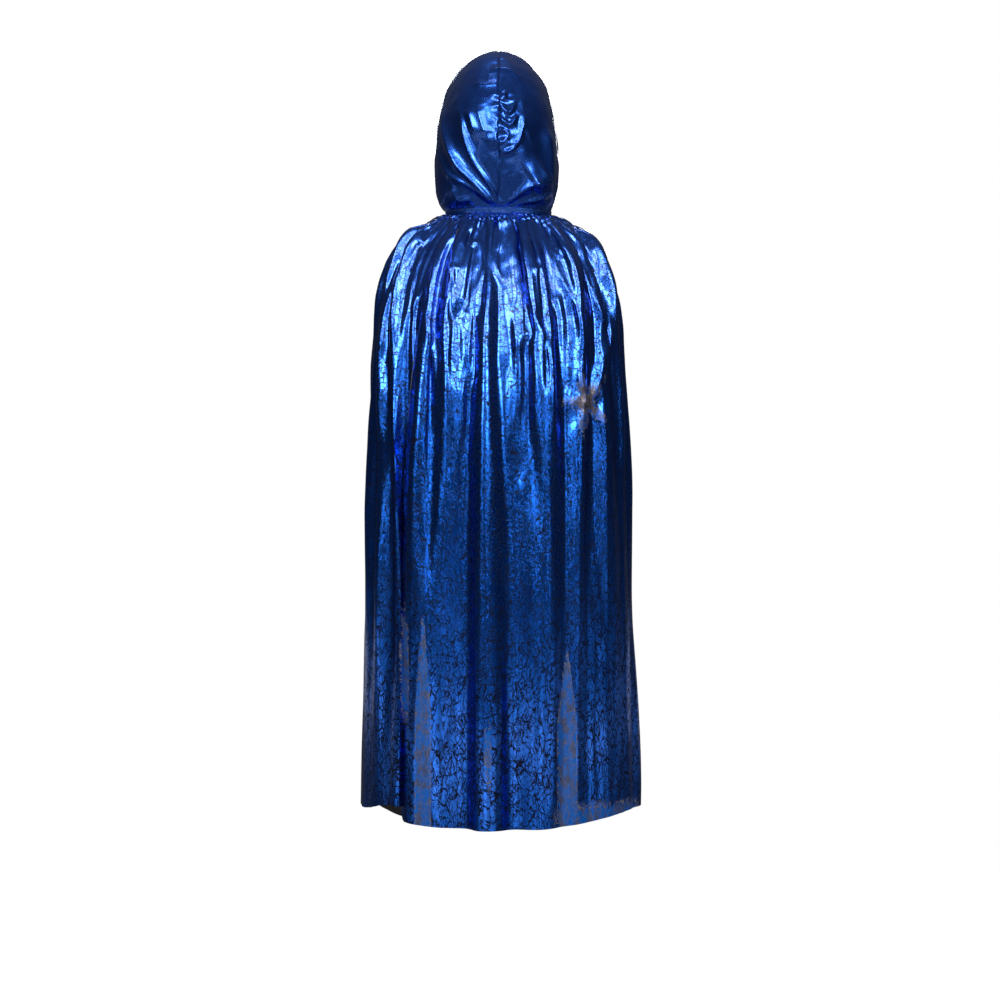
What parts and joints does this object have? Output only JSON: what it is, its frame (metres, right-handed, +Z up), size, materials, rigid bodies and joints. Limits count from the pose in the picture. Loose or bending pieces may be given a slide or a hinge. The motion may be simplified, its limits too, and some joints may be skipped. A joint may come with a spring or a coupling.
{
  "type": "hooded costume cape",
  "caption": "Full-length gathered costume cape with a two-panel hood, a front opening and a hook-and-loop neck tab, in shiny foil-printed knit.",
  "frame": {"origin": "centre of the neck opening, level with the seam at the nape", "axes": "+Z up along the wearer's spine, -Y forwards out of the front opening, +X to the wearer's left"},
  "size_m": [0.4498, 0.289, 1.2131],
  "materials": {
    "foil_knit": "blue metallic foil broken by fine black crackle lines",
    "knit_reverse": "matt dark grey knit, the reverse side of the cloth",
    "neck_tape": "matt navy woven tape",
    "hook_nylon": "matt black nylon hooks"
  },
  "bodies": {
    "cape_back": {"back_panel": "foil_knit", "back_hem": "knit_reverse", "left_side_seam": "knit_reverse", "right_side_seam": "knit_reverse", "neck_band": "foil_knit", "neck_tape": "neck_tape", "loop_patch": "neck_tape"},
    "left_front": {"left_front_panel": "foil_knit", "left_front_hem": "knit_reverse", "left_front_facing": "knit_reverse"},
    "right_front": {"right_front_panel": "foil_knit", "right_front_hem": "knit_reverse", "right_front_facing": "knit_reverse"},
    "hood": {"hood_left_panel": "foil_knit", "hood_right_panel": "foil_knit", "hood_centre_seam": "knit_reverse", "hood_left_face_hem": "knit_reverse", "hood_right_face_hem": "knit_reverse"},
    "closure_tab": {"neck_tab": "foil_knit", "hook_patch": "hook_nylon"}
  },
  "joints": [
    {"name": "hood_tilt", "type": "hinge", "parent": "cape_back", "child": "hood", "pos_m": [0, 0.061, 0.0124], "axis": [-1, 0, 0], "range_deg": [0, 120]},
    {"name": "left_front_swing", "type": "hinge", "parent": "cape_back", "child": "left_front", "pos_m": [0.2025, 0.006, -0.242], "axis": [-0.0372, 0.0175, 0.9992], "range_deg": [0, 75]},
    {"name": "right_front_swing", "type": "hinge", "parent": "cape_back", "child": "right_front", "pos_m": [-0.2025, 0.006, -0.242], "axis": [-0.0372, -0.0175, -0.9992], "range_deg": [0, 75]},
    {"name": "tab_peel", "type": "hinge", "parent": "cape_back", "child": "closure_tab", "pos_m": [0.0377, -0.0574, -0.0263], "axis": [-0.2079, 0, 0.9781], "range_deg": [0, 120]}
  ]
}
